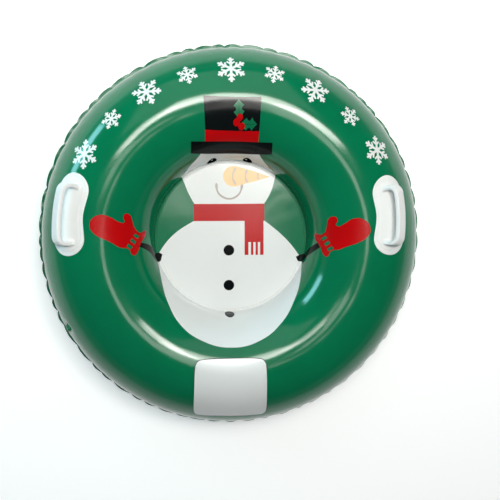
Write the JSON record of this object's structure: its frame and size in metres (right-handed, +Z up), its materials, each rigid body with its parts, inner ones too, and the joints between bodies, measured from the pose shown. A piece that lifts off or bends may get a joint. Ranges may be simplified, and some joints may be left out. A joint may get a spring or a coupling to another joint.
{
  "type": "inflatable snow sled",
  "caption": "Round inflatable snow sled: air tube with a welded seat floor, puckered outer seam, moulded side handles and a push-in valve with a tethered stopper.",
  "frame": {"origin": "on the ground, under the middle of the sled lying flat", "axes": "+Z up along the ring's axis, +Y towards the top of the print, +X to the right-hand handle as seen from above"},
  "size_m": [1, 1, 0.3122],
  "materials": {
    "tube_upper": "glossy soft vinyl, green with a printed snowman and snowflakes",
    "tube_lower": "glossy soft vinyl, plain green",
    "seam": "welded vinyl with fine ribs from the welding tool",
    "floor": "glossy soft vinyl, green with the printed snowman's middle",
    "handle": "satin white moulded soft vinyl",
    "valve": "satin green moulded soft vinyl"
  },
  "bodies": {
    "sled": {"upper_skin": "tube_upper", "lower_skin": "tube_lower", "outer_seam": "seam", "inner_seam": "seam", "seat_floor": "floor", "left_handle_plate": "handle", "right_handle_plate": "handle", "left_handle_grip": "handle", "right_handle_grip": "handle", "valve_base": "valve"},
    "stem": {"valve_stem": "valve"},
    "stopper": {"valve_stopper": "valve", "valve_tether": "valve"},
    "flap": {"valve_flap": "valve"}
  },
  "joints": [
    {"name": "stem_slide", "type": "slide", "parent": "sled", "child": "stem", "axis": [-0.8104, -0.44, 0.3868], "range_m": [0, 0.012]},
    {"name": "stopper_hinge", "type": "hinge", "parent": "stem", "child": "stopper", "pos_m": [-0.42953, -0.22013, 0.20201], "axis": [-0.34, -0.1846, -0.9221], "range_deg": [0, 150]},
    {"name": "flap_hinge", "type": "hinge", "parent": "stem", "child": "flap", "pos_m": [-0.40694, -0.22687, 0.19502], "axis": [-0.34, -0.1846, -0.9221], "range_deg": [0, 60], "stiffness_Nm_per_rad": 0.00002, "springref_deg": -17.19}
  ]
}
